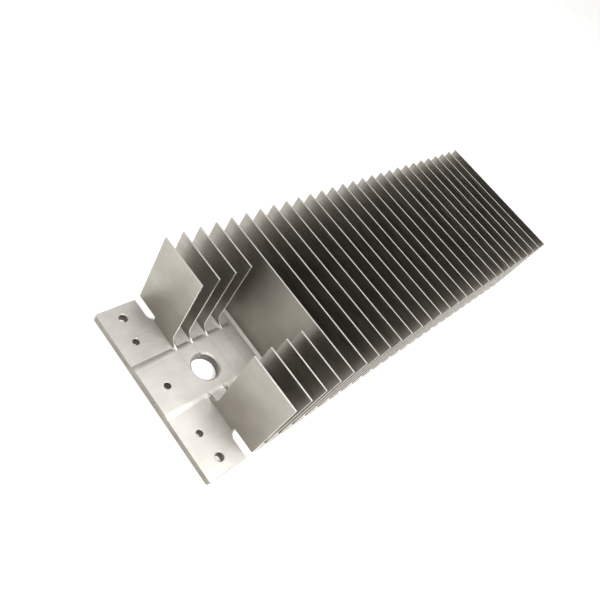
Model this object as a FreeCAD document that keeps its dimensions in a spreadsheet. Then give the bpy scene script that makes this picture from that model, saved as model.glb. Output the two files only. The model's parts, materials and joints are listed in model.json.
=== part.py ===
import FreeCAD, Part
import os
import re
import Sketcher

# Finned cooling plate of a micro inverter: one milled base plate and 28 thin fins,
# each seated in its own groove.  Row frame: X runs from the mounting end to the far
# end, Y across (left is +Y, seen from the mounting end), Z up from the underside.

SIZES = {
    "base_length": 312.0,
    "base_width": 100.0,
    "base_thickness": 5.0,
    "corner_radius": 1.0,
    "bottom_bevel": 0.6,
    "pad_top": 5.8,
    "pad_left_edge": 14.0,
    "pad_right_edge": 12.0,
    "pad_length": 63.5,
    "shoulder_radius": 6.0,
    "shoulder_width": 2.993,
    "fin_count": 28.0,
    "fin_pitch": 10.4,
    "fin_thickness": 0.8,
    "fin_top": 55.0,
    "first_fin": -130.0,
    "groove_floor": 3.0,
    "lip_width": 1.7,
    "lip_height": 1.0,
    "pocket_half_width": 20.0,
    "foot_radius": 6.0,
    "pocket_margin": 2.0,
    "pocket_length": 41.5,
    "slot_front": -132.6,
    "slot_width": 9.0,
    "slot_inner_end": 35.4,
    "slot_height": 7.6,
    "cable_hole_offset": 8.4,
    "cable_hole_radius": 7.5,
    "cable_hole_bevel": 0.8,
    "strip_end": 8.2,
    "inner_hole_x": -146.0,
    "inner_hole_y": 28.0,
    "inner_hole_radius": 1.8,
    "inner_hole_bevel": 0.2,
    "outer_hole_x": -144.3,
    "outer_hole_y": 42.6,
    "outer_hole_radius": 2.2,
    "outer_hole_bevel": 0.4,
    "overcut": 5.0,
}

OPEN_FINS = (1, 3, 4)
SPLIT_FIN = 2
TURN_LEFT = 1
TURN_RIGHT = -1

doc = FreeCAD.newDocument("cooling_plate")


def add_sheet():
    sheet = doc.addObject("Spreadsheet::Sheet", "Sizes")
    for row, (alias, number) in enumerate(SIZES.items(), start=1):
        sheet.set("A%d" % row, alias)
        sheet.set("B%d" % row, str(number))
        sheet.setAlias("B%d" % row, alias)
    doc.recompute()


def of_sheet(text):
    """Write a formula over the sizes as an expression over the sheet."""
    return re.sub("[a-z][a-z_]+", lambda name: "Sizes." + name.group(), text)


def number(item, text):
    return float(item.evalExpression(of_sheet(text)))


def bind(item, path, text):
    item.setExpression(path, of_sheet(text))


def add_body(label):
    body = doc.addObject("PartDesign::Body", label)
    body.Label = label
    return body


def add_sketch(body, name, plane, offset=None):
    """Start a sketch on an origin plane, moved by an offset of three formulas."""
    sketch = body.newObject("Sketcher::SketchObject", name)
    planes = {item.Role: item for item in body.Origin.OriginFeatures}
    sketch.AttachmentSupport = [(planes[plane], "")]
    sketch.MapMode = "FlatFace"
    for axis, text in (offset or {}).items():
        bind(sketch, "AttachmentOffset.Base." + axis, text)
    return sketch


def constrain(sketch, kind, target, text):
    index = sketch.addConstraint(Sketcher.Constraint(kind, *target, number(sketch, text)))
    bind(sketch, "Constraints[%d]" % index, text)


def point(sketch, corner):
    return FreeCAD.Vector(number(sketch, corner[0]), number(sketch, corner[1]), 0)


def add_arc(sketch, start, end, arc):
    """Add an arc and return its index and which of its ends is the start."""
    centre, radius, turn = arc
    middle = point(sketch, centre)
    first, last = (start, end) if turn == TURN_LEFT else (end, start)
    x_axis = FreeCAD.Vector(1, 0, 0)
    up = FreeCAD.Vector(0, 0, 1)
    low = x_axis.getAngle(first - middle)
    low = low if first.y >= middle.y else -low
    sweep = (first - middle).getAngle(last - middle)
    circle = Part.Circle(middle, up, number(sketch, radius))
    index = sketch.addGeometry(Part.ArcOfCircle(circle, low, low + sweep), False)
    constrain(sketch, "Radius", (index,), radius)
    return index, (1 if turn == TURN_LEFT else 2)


def outline(sketch, corners, arcs=None):
    """Draw a closed outline; arcs maps a corner's index to the arc that leaves it."""
    arcs = arcs or {}
    pieces = []
    for index, corner in enumerate(corners):
        start = point(sketch, corner)
        end = point(sketch, corners[(index + 1) % len(corners)])
        if index in arcs:
            pieces.append(add_arc(sketch, start, end, arcs[index]))
        else:
            line = sketch.addGeometry(Part.LineSegment(start, end), False)
            pieces.append((line, 1))
    for index, (piece, start_end) in enumerate(pieces):
        following, following_start = pieces[(index + 1) % len(pieces)]
        joint = Sketcher.Constraint("Coincident", piece, 3 - start_end, following, following_start)
        sketch.addConstraint(joint)
        constrain(sketch, "DistanceX", (piece, start_end), corners[index][0])
        constrain(sketch, "DistanceY", (piece, start_end), corners[index][1])


def rectangle(sketch, low_x, high_x, low_y, high_y):
    outline(sketch, [(low_x, low_y), (high_x, low_y), (high_x, high_y), (low_x, high_y)])


def sweep_sketch(body, kind, name, sketch, length, symmetric=True):
    """Pad or pocket a sketch by a length formula."""
    feature = body.newObject("PartDesign::" + kind, name)
    feature.Profile = sketch
    feature.SideType = "Symmetric" if symmetric else "One side"
    bind(feature, "Length", length)
    sketch.Visibility = False
    return feature


def open_profile(sketch):
    """Outline of the space above the block: rounded at both feet of the fins."""
    wall = "pocket_half_width"
    foot = "pocket_half_width - foot_radius"
    arc_top = "pad_top + foot_radius"
    above = "fin_top + overcut"
    corners = [
        ("-" + wall, above), ("-" + wall, arc_top), ("-(%s)" % foot, "pad_top"),
        (foot, "pad_top"), (wall, arc_top), (wall, above),
    ]
    arcs = {
        1: (("-(%s)" % foot, arc_top), "foot_radius", TURN_LEFT),
        3: ((foot, arc_top), "foot_radius", TURN_LEFT),
    }
    outline(sketch, corners, arcs)


def edges_where(shape, test):
    return ["Edge%d" % (i + 1) for i, edge in enumerate(shape.Edges) if test(edge)]


def is_upright(edge):
    low, high = edge.Vertexes[0].Point, edge.Vertexes[-1].Point
    return abs(low.z - high.z) > 1 and (low - high).Length - abs(low.z - high.z) < 1e-6


def is_on_underside(edge):
    return edge.BoundBox.ZMax < 1e-6


def dress(body, kind, name, base, names, prop, size):
    feature = body.newObject("PartDesign::" + kind, name)
    feature.Base = (base, names)
    bind(feature, prop, size)
    doc.recompute()
    return feature


def add_slab(body):
    sketch = add_sketch(body, "slab_outline", "XY_Plane")
    rectangle(sketch, "-base_length / 2", "base_length / 2", "-base_width / 2", "base_width / 2")
    slab = sweep_sketch(body, "Pad", "slab", sketch, "base_thickness", symmetric=False)
    doc.recompute()
    corners = edges_where(slab.Shape, is_upright)
    rounded = dress(body, "Fillet", "slab_corners", slab, corners, "Radius", "corner_radius")
    rim = edges_where(rounded.Shape, is_on_underside)
    dress(body, "Chamfer", "bottom_edge", rounded, rim, "Size", "bottom_bevel")


def add_centre_pad(body):
    """The raised block, whose two sides are rounded over down to the flange."""
    middle = "-base_length / 2 + pad_length / 2"
    sketch = add_sketch(body, "pad_profile", "YZ_Plane", {"z": middle})
    left, right = "pad_left_edge", "-pad_right_edge"
    left_foot, right_foot = left + " + shoulder_width", right + " - shoulder_width"
    centre_z = "pad_top - shoulder_radius"
    corners = [
        (right_foot, "groove_floor"), (left_foot, "groove_floor"), (left_foot, "base_thickness"),
        (left, "pad_top"), (right, "pad_top"), (right_foot, "base_thickness"),
    ]
    arcs = {
        2: ((left, centre_z), "shoulder_radius", TURN_LEFT),
        4: ((right, centre_z), "shoulder_radius", TURN_LEFT),
    }
    outline(sketch, corners, arcs)
    sweep_sketch(body, "Pad", "centre_pad", sketch, "pad_length")


def add_fin_seats(body):
    """A ridge with a groove down its middle for every fin."""
    half = "fin_thickness / 2"
    root = half + " + lip_width"
    ridge_top = "base_thickness + lip_height"
    ridge = add_sketch(body, "ridge_profile", "XZ_Plane")
    corners = [
        ("first_fin - (%s)" % root, "groove_floor"), ("first_fin + %s" % root, "groove_floor"),
        ("first_fin + %s" % root, "base_thickness"), ("first_fin + " + half, ridge_top),
        ("first_fin - " + half, ridge_top), ("first_fin - (%s)" % root, "base_thickness"),
    ]
    outline(ridge, corners)
    first_ridge = sweep_sketch(body, "Pad", "ridge", ridge, "base_width")
    groove = add_sketch(body, "groove_profile", "XZ_Plane")
    rectangle(groove, "first_fin - " + half, "first_fin + " + half, "groove_floor",
              ridge_top + " + overcut")
    first_groove = sweep_sketch(body, "Pocket", "groove", groove, "base_width + overcut")
    seats = body.newObject("PartDesign::LinearPattern", "fin_seats")
    seats.Originals = [first_ridge, first_groove]
    axes = {item.Role: item for item in body.Origin.OriginFeatures}
    seats.Direction = (axes["X_Axis"], [""])
    bind(seats, "Length", "fin_pitch * (fin_count - 1)")
    bind(seats, "Occurrences", "fin_count")
    body.Tip = seats
    doc.recompute()


def clear_centre(body):
    """Level the ridges where the middle of the first four fins is milled away."""
    middle = "first_fin - pocket_margin + pocket_length / 2"
    sketch = add_sketch(body, "centre_cut_profile", "YZ_Plane", {"z": middle})
    open_profile(sketch)
    sweep_sketch(body, "Pocket", "centre_cut", sketch, "pocket_length")


def clear_flange(body):
    """Level the flange on both sides of the block, up to the first fin's face."""
    length = "(base_length / 2 + first_fin - fin_thickness / 2)"
    middle = "-base_length / 2 + %s / 2" % length
    sides = (("left", "", "pad_left_edge"), ("right", "-", "pad_right_edge"))
    for name, sign, edge in sides:
        sketch = add_sketch(body, name + "_flange_profile", "YZ_Plane", {"z": middle})
        inner = "%s(%s + shoulder_width)" % (sign, edge)
        outer = "%s(base_width / 2 + overcut)" % sign
        rectangle(sketch, inner, outer, "base_thickness", "base_thickness + overcut")
        sweep_sketch(body, "Pocket", name + "_flange_cut", sketch, length)


def cut_slots(body):
    """A round-ended slot under the first fin, from either side of the plate."""
    rear = "slot_front + slot_width"
    radius = "slot_width / 2"
    for name, sign, turn in (("left", "", TURN_LEFT), ("right", "-", TURN_RIGHT)):
        sketch = add_sketch(body, name + "_slot_outline", "XY_Plane")
        centre_y = "%s(slot_inner_end + %s)" % (sign, radius)
        inner = "%sslot_inner_end" % sign
        outer = "%s(base_width / 2 + overcut)" % sign
        middle = ("slot_front + " + radius, centre_y)
        corners = [("slot_front", centre_y), (middle[0], inner), (rear, centre_y),
                   (rear, outer), ("slot_front", outer)]
        outline(sketch, corners, {0: (middle, radius, turn), 1: (middle, radius, turn)})
        sweep_sketch(body, "Pocket", name + "_slot", sketch, "slot_height * 2")


def drill(body, name, centre_x, centre_y, top, radius, bevel):
    """Turn out a through hole with a bevelled mouth at the given height."""
    sketch = add_sketch(body, name + "_section", "XZ_Plane",
                        {"x": centre_x, "z": "-(%s)" % centre_y})
    mouth = "%s + %s" % (radius, bevel)
    corners = [
        ("0", "-overcut"), (radius, "-overcut"), (radius, "%s - %s" % (top, bevel)),
        (mouth, top), (mouth, "%s + overcut" % top), ("0", "%s + overcut" % top),
    ]
    outline(sketch, corners)
    hole = body.newObject("PartDesign::Groove", name)
    hole.Profile = sketch
    hole.ReferenceAxis = (sketch, ["V_Axis"])
    hole.Angle = 360
    sketch.Visibility = False


def drill_all(body):
    inner = ("inner_hole_radius", "inner_hole_bevel")
    outer = ("outer_hole_radius", "outer_hole_bevel")
    drill(body, "centre_hole", "inner_hole_x", "0", "pad_top", *inner)
    for side, sign in (("left", ""), ("right", "-")):
        drill(body, side + "_inner_hole", "inner_hole_x", sign + "inner_hole_y",
              "base_thickness", *inner)
        drill(body, side + "_outer_hole", "outer_hole_x", sign + "outer_hole_y",
              "base_thickness", *outer)
    drill(body, "cable_hole", "first_fin + cable_hole_offset", "0", "pad_top",
          "cable_hole_radius", "cable_hole_bevel")


def add_base_plate():
    body = add_body("base_plate")
    add_slab(body)
    add_centre_pad(body)
    add_fin_seats(body)
    clear_centre(body)
    clear_flange(body)
    cut_slots(body)
    drill_all(body)


def place_fin(body, index):
    bind(body, "Placement.Base.x", "first_fin + fin_pitch * %d" % (index - 1))


def add_fin(index):
    """A fin as wide as the plate; the first four are cut out in the middle."""
    body = add_body("fin_%02d" % index)
    sheet_outline = add_sketch(body, "sheet_outline", "YZ_Plane")
    rectangle(sheet_outline, "-base_width / 2", "base_width / 2", "groove_floor", "fin_top")
    sweep_sketch(body, "Pad", "sheet_blank", sheet_outline, "fin_thickness")
    if index in OPEN_FINS:
        opening = add_sketch(body, "opening_outline", "YZ_Plane")
        open_profile(opening)
        sweep_sketch(body, "Pocket", "opening", opening, "fin_thickness * 3")
    if index == 1:
        notch_root(body)
    place_fin(body, index)


def notch_root(body):
    """Shorten the first fin's outer ends, where the slots pass under it."""
    for name, sign in (("left", ""), ("right", "-")):
        sketch = add_sketch(body, name + "_notch_outline", "YZ_Plane")
        inner = sign + "slot_inner_end"
        outer = "%s(base_width / 2 + overcut)" % sign
        rectangle(sketch, inner, outer, "-overcut", "slot_height")
        sweep_sketch(body, "Pocket", name + "_notch", sketch, "fin_thickness * 3")


def add_half_fin(index, side, sign, turn):
    """One half of the fin that the cable hole divides."""
    body = add_body("fin_%02d_%s" % (index, side))
    sketch = add_sketch(body, "sheet_outline", "YZ_Plane")
    strip_end = sign + "strip_end"
    outer = sign + "base_width / 2"
    wall = sign + "pocket_half_width"
    foot = "%s(pocket_half_width - foot_radius)" % sign
    arc_top = "pad_top + foot_radius"
    corners = [
        (strip_end, "groove_floor"), (outer, "groove_floor"), (outer, "fin_top"),
        (wall, "fin_top"), (wall, arc_top), (foot, "pad_top"), (strip_end, "pad_top"),
    ]
    outline(sketch, corners, {4: ((foot, arc_top), "foot_radius", turn)})
    sweep_sketch(body, "Pad", "sheet_blank", sketch, "fin_thickness")
    place_fin(body, index)


def add_fins():
    for index in range(1, int(SIZES["fin_count"]) + 1):
        if index == SPLIT_FIN:
            add_half_fin(index, "left", "", TURN_RIGHT)
            add_half_fin(index, "right", "-", TURN_LEFT)
        else:
            add_fin(index)


def is_sound(item):
    if "Invalid" in item.State or "Error" in item.State:
        return False
    if not hasattr(item, "Shape") or item.TypeId.startswith("Sketcher"):
        return True
    return not item.Shape.isNull() and item.Shape.isValid()


def write_parts():
    """Check every object, then write one STEP file for each body."""
    checked = [item for item in doc.Objects if not item.TypeId.startswith("App::")]
    failed = [item.Name for item in checked if not is_sound(item)]
    if failed:
        raise RuntimeError("unsound objects: " + ", ".join(failed))
    os.makedirs("parts", exist_ok=True)
    for item in doc.Objects:
        if item.TypeId == "PartDesign::Body":
            if len(item.Shape.Solids) != 1:
                raise RuntimeError("%s is not one solid" % item.Label)
            item.Shape.exportStep(os.path.join("parts", item.Label + ".step"))


add_sheet()
add_base_plate()
add_fins()
doc.recompute()
write_parts()
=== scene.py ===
import json
import math
import bmesh
import bpy
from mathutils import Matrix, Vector


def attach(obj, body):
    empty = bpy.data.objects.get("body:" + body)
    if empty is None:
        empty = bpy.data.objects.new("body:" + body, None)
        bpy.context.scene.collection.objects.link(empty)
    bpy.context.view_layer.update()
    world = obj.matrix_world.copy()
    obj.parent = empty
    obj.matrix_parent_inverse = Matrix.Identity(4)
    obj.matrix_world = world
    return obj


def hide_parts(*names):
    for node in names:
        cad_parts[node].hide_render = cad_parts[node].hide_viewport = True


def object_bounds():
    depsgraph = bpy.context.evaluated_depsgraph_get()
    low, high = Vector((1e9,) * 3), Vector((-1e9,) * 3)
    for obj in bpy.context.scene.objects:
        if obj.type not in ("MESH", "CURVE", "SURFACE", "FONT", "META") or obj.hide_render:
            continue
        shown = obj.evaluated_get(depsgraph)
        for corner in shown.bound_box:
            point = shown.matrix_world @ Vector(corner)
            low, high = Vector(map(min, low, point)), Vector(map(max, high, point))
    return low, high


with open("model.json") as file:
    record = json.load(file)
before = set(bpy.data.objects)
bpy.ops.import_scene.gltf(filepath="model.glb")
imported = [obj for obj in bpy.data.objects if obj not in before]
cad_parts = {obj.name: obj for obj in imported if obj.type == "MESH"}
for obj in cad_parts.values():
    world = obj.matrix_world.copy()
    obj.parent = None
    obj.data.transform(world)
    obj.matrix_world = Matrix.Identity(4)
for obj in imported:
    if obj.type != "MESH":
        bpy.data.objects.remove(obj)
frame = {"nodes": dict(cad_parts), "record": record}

# Bare aluminium cooling plate: a milled base with sheet fins.  All lengths in metres.

MM = 0.001
CAD_BOX = [list(corner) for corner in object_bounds()]
LOW, HIGH = (Vector(corner) for corner in CAD_BOX)

# Camera, in the row frame: near the mounting end, right of the plate, looking down.
CAMERA_PLACE = (-278.2 * MM, -68.4 * MM, 246.5 * MM)
CAMERA_TURN = (36.35, -25.13, -41.17)
CAMERA_LENS = 33.97
CAMERA_SHIFT = (0.04, 0.036)

# Meshes: edges over SHARP_ANGLE are bevelled, and what is still over CREASE_ANGLE stays sharp.
SHARP_ANGLE = math.radians(28)
CREASE_ANGLE = math.radians(55)
FLAT_ANGLE = math.radians(0.5)
WELD = 0.002 * MM
BASE_BEVEL = 0.22 * MM
FIN_BEVEL = 0.10 * MM
BEVEL_STEPS = 2

# Places on the base, used to choose materials.
PAD_TOP = 5.8 * MM
SEAM = 0.05 * MM
RIM = 1.2 * MM
SMALL_HOLES_END = 18 * MM
MOUNTS = {mount["name"]: mount for mount in frame["record"]["mounts"]}
CABLE_HOLE = Vector(MOUNTS["cable_hole"]["pos_m"])
CABLE_HOLE_RADIUS = MOUNTS["cable_hole"]["dims"]["r_mm"] * MM

# Noise runs from 0 to 1, and materials use the stretch between these two values.
NOISE_LOW, NOISE_HIGH = 0.3, 0.7

FLOOR_HALF_WIDTH = 3.0
FLOOR_GAP = 0.15 * MM
FLOOR_GLOW = 0.45
SKY_COLOUR = (1.0, 0.985, 0.965, 1)
SKY_STRENGTH = 0.6
LIGHT_TARGET = (-0.10, 0.0, 0.02)


class Nodes:
    """Short-hand for building one material's node tree."""

    def __init__(self, name):
        self.material = bpy.data.materials.new(name)
        self.material.use_nodes = True
        self.tree = self.material.node_tree
        self.shader = self.tree.nodes["Principled BSDF"]
        self.place = self.add("ShaderNodeTexCoord").outputs["Object"]

    def add(self, kind, links=None, **values):
        """A new node with some sockets linked and some set to values."""
        node = self.tree.nodes.new(kind)
        for key, value in values.items():
            node.inputs[key].default_value = value
        for key, source in (links or {}).items():
            self.tree.links.new(source, node.inputs[key])
        return node

    def stretched(self, scale):
        """Object coordinates scaled per axis, so that a pattern runs along one."""
        node = self.add("ShaderNodeMapping", {"Vector": self.place})
        node.inputs["Scale"].default_value = scale
        return node.outputs["Vector"]

    def noise(self, scale, detail=3.0, roughness=0.55):
        node = self.add("ShaderNodeTexNoise", {"Vector": self.stretched(scale)},
                        Scale=1.0, Detail=detail, Roughness=roughness)
        return node.outputs["Fac"]

    def remap(self, source, low, high):
        node = self.add("ShaderNodeMapRange", {"Value": source})
        node.inputs["From Min"].default_value = NOISE_LOW
        node.inputs["From Max"].default_value = NOISE_HIGH
        node.inputs["To Min"].default_value = low
        node.inputs["To Max"].default_value = high
        return node.outputs["Result"]

    def ramp(self, source, low, high):
        node = self.add("ShaderNodeValToRGB", {"Fac": source})
        node.color_ramp.elements[0].position = NOISE_LOW
        node.color_ramp.elements[0].color = (*low, 1)
        node.color_ramp.elements[1].position = NOISE_HIGH
        node.color_ramp.elements[1].color = (*high, 1)
        return node.outputs["Color"]

    def bump(self, height, strength, distance, normal=None):
        links = {"Height": height}
        if normal is not None:
            links["Normal"] = normal
        node = self.add("ShaderNodeBump", links, Strength=strength, Distance=distance)
        return node.outputs["Normal"]

    def link(self, source, target):
        self.tree.links.new(source, self.shader.inputs[target])


def metal(name, low, high, mottle, rough, marks, mark_depth, grain=0.0, waves=0.0):
    """Bare aluminium: mottled tone, streaky gloss and fine tool or rolling marks."""
    nodes = Nodes(name)
    nodes.shader.inputs["Metallic"].default_value = 1.0
    cloud = nodes.noise((mottle, mottle, mottle), detail=5.0, roughness=0.6)
    nodes.link(nodes.ramp(cloud, low, high), "Base Color")
    streaks = nodes.noise(marks, detail=3.0, roughness=0.5)
    nodes.link(nodes.remap(streaks, *rough), "Roughness")
    normal = nodes.bump(streaks, 0.3, mark_depth)
    if grain:
        specks = nodes.noise((2600, 2600, 2600), detail=2.0)
        normal = nodes.bump(specks, 0.5, grain, normal)
    if waves:
        swell = nodes.noise((22, 22, 22), detail=1.0)
        normal = nodes.bump(swell, 0.5, waves, normal)
    nodes.link(normal, "Normal")
    return nodes.material


def make_materials():
    return {
        "milled": metal("milled_aluminium", (0.62, 0.60, 0.565), (0.72, 0.70, 0.665), 90,
                        (0.46, 0.56), (40, 1100, 400), 0.004 * MM, grain=0.012 * MM),
        "root_strip": metal("milled_root_strip", (0.57, 0.55, 0.51), (0.67, 0.65, 0.61), 90,
                            (0.44, 0.54), (1100, 40, 400), 0.004 * MM, grain=0.01 * MM),
        # Hole walls: the near-black colour is painted shade standing in for the dark inside of the
        # holes.
        "hole_wall_painted_shade": metal("hole_wall_painted_shade", (0.10, 0.09, 0.08), (0.17, 0.155, 0.135), 300,
                              (0.35, 0.50), (60, 60, 2600), 0.02 * MM),
        # Bevel faces of the base: bright cut metal, made lighter still as a painted highlight along
        # the edges.
        "machined_edge_and_highlight": metal("machined_edge_and_highlight", (0.84, 0.83, 0.80), (0.93, 0.92, 0.90), 200,
                               (0.20, 0.32), (600, 600, 600), 0.006 * MM),
        "sawn_side": metal("sawn_side", (0.25, 0.23, 0.20), (0.36, 0.335, 0.29), 160,
                           (0.42, 0.60), (500, 60, 60), 0.01 * MM, grain=0.01 * MM),
        "sheet": metal("rolled_sheet", (0.34, 0.32, 0.285), (0.43, 0.41, 0.37), 45,
                       (0.32, 0.46), (60, 60, 700), 0.008 * MM, waves=0.25 * MM),
        # Fin cut edges: bright sheared metal, made lighter still as a painted highlight along the
        # edges.
        "sheared_edge_and_highlight": metal("sheared_edge_and_highlight", (0.80, 0.78, 0.74), (0.92, 0.90, 0.87), 300,
                              (0.26, 0.42), (2500, 300, 300), 0.008 * MM),
    }


def clean_copy(node):
    """A CAD node's mesh with its flat faces joined into one each."""
    mesh = bmesh.new()
    mesh.from_mesh(frame["nodes"][node].data)
    bmesh.ops.remove_doubles(mesh, verts=mesh.verts, dist=WELD)
    bmesh.ops.dissolve_limit(mesh, angle_limit=FLAT_ANGLE, verts=mesh.verts, edges=mesh.edges)
    return mesh


def is_floor_seam(edge):
    """A straight edge across the plate where a root strip was milled flush."""
    low, high = (vertex.co for vertex in edge.verts)
    flat = abs(low.z - PAD_TOP) < SEAM and abs(high.z - PAD_TOP) < SEAM
    return flat and abs(low.x - high.x) < SEAM


def bevel_sharp(mesh, width, slot):
    """Round every sharp edge but the floor seams; the new faces take the given slot."""
    sharp = [edge for edge in mesh.edges if len(edge.link_faces) == 2
             and edge.calc_face_angle(0) > SHARP_ANGLE and not is_floor_seam(edge)]
    bmesh.ops.bevel(mesh, geom=sharp, offset=width, offset_type="OFFSET",
                    segments=BEVEL_STEPS, profile=0.5, affect="EDGES",
                    clamp_overlap=True, material=slot)
    for edge in mesh.edges:
        if len(edge.link_faces) == 2 and edge.calc_face_angle(0) > CREASE_ANGLE:
            edge.smooth = False


def is_shoulder(face):
    """A gently sloping facet along the plate: the block's rounded sides and some bevels."""
    return abs(face.normal.x) < 0.01 and 0.8 < face.normal.z < 0.9999


def finish_piece(mesh, name, node, materials):
    """Turn a mesh into the visible piece that stands in for one CAD node."""
    bmesh.ops.triangulate(mesh, faces=[face for face in mesh.faces if len(face.verts) > 4])
    for face in mesh.faces:
        face.smooth = not is_shoulder(face)
    data = bpy.data.meshes.new(name)
    mesh.to_mesh(data)
    mesh.free()
    for material in materials:
        data.materials.append(material)
    piece = bpy.data.objects.new(name, data)
    bpy.context.collection.objects.link(piece)
    weighted = piece.modifiers.new("normals", "WEIGHTED_NORMAL")
    weighted.keep_sharp = True
    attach(piece, "root")
    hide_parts(node)


def base_slot(face):
    """Material slot of a face of the base: 0 milled, 2 sawn side, 3 hole wall painted dark as shade.
    """
    centre = face.calc_center_median()
    if abs(face.normal.z) > 0.5:
        return 0
    if (min(centre.x - LOW.x, HIGH.x - centre.x) < RIM
            or min(centre.y - LOW.y, HIGH.y - centre.y) < RIM):
        return 2
    small_hole = centre.x < LOW.x + SMALL_HOLES_END
    cable_hole = (centre.xy - CABLE_HOLE.xy).length < CABLE_HOLE_RADIUS + RIM
    return 3 if small_hole or cable_hole else 0


def make_base(materials):
    mesh = clean_copy("base_plate")
    for face in mesh.faces:
        face.material_index = base_slot(face)
    bevel_sharp(mesh, BASE_BEVEL, 1)
    slots = ["milled", "machined_edge_and_highlight", "sawn_side", "hole_wall_painted_shade"]
    finish_piece(mesh, "milled_base", "base_plate", [materials[slot] for slot in slots])


def make_fin(node, materials):
    """A sheet fin: 0 faces, 1 cut edges, made lighter in part as a painted highlight, 2 the root
    strip that was milled flush.
    """
    mesh = clean_copy(node)
    for face in mesh.faces:
        face.material_index = 0 if abs(face.normal.x) > 0.5 else 1
        if face.normal.z > 0.9 and abs(face.calc_center_median().z - PAD_TOP) < SEAM:
            face.material_index = 2
    bevel_sharp(mesh, FIN_BEVEL, 1)
    slots = [materials["sheet"], materials["sheared_edge_and_highlight"], materials["root_strip"]]
    finish_piece(mesh, node.replace("fin", "sheet"), node, slots)


def make_floor():
    mesh = bmesh.new()
    bmesh.ops.create_grid(mesh, x_segments=8, y_segments=8, size=FLOOR_HALF_WIDTH)
    data = bpy.data.meshes.new("floor")
    mesh.to_mesh(data)
    mesh.free()
    floor = bpy.data.objects.new("floor", data)
    floor.location.z = LOW.z - FLOOR_GAP
    bpy.context.collection.objects.link(floor)
    nodes = Nodes("pale_floor")
    paper = nodes.noise((30, 30, 30), detail=2.0)
    nodes.link(nodes.ramp(paper, (0.66, 0.66, 0.66), (0.70, 0.70, 0.695)), "Base Color")
    nodes.shader.inputs["Roughness"].default_value = 0.9
    nodes.shader.inputs["Emission Color"].default_value = (1, 1, 1, 1)
    nodes.shader.inputs["Emission Strength"].default_value = FLOOR_GLOW
    data.materials.append(nodes.material)


def make_camera():
    data = bpy.data.cameras.new("camera")
    data.lens = CAMERA_LENS
    data.shift_x, data.shift_y = CAMERA_SHIFT
    data.clip_start = 0.01
    camera = bpy.data.objects.new("camera", data)
    camera.location = CAMERA_PLACE
    camera.rotation_euler = [math.radians(turn) for turn in CAMERA_TURN]
    bpy.context.collection.objects.link(camera)
    bpy.context.scene.camera = camera


def make_light(name, place, size, energy, colour=(1, 1, 1)):
    """A rectangular lamp turned to the flange; energy in watts."""
    data = bpy.data.lights.new(name, "AREA")
    data.shape = "RECTANGLE"
    data.size, data.size_y = size
    data.energy = energy
    data.color = colour
    light = bpy.data.objects.new(name, data)
    light.location = place
    light.rotation_euler = (Vector(LIGHT_TARGET) - Vector(place)).to_track_quat("-Z", "Y").to_euler()
    bpy.context.collection.objects.link(light)


def make_lights():
    world = bpy.data.worlds.new("studio")
    world.use_nodes = True
    background = world.node_tree.nodes["Background"]
    background.inputs["Color"].default_value = SKY_COLOUR
    background.inputs["Strength"].default_value = SKY_STRENGTH
    bpy.context.scene.world = world
    make_light("key_softbox", (-0.05, -0.43, 0.95), (0.45, 0.45), 10, (1, 0.99, 0.97))
    make_light("top_softbox", (0.10, -0.15, 1.1), (0.9, 0.7), 2.5)
    make_light("front_softbox", (-0.85, -0.45, 0.6), (0.6, 0.5), 1.2)


def main():
    bpy.context.scene.view_settings.view_transform = "Standard"
    materials = make_materials()
    make_base(materials)
    for node in sorted(frame["nodes"]):
        if node.startswith("fin"):
            make_fin(node, materials)
    make_floor()
    make_lights()
    make_camera()


main()
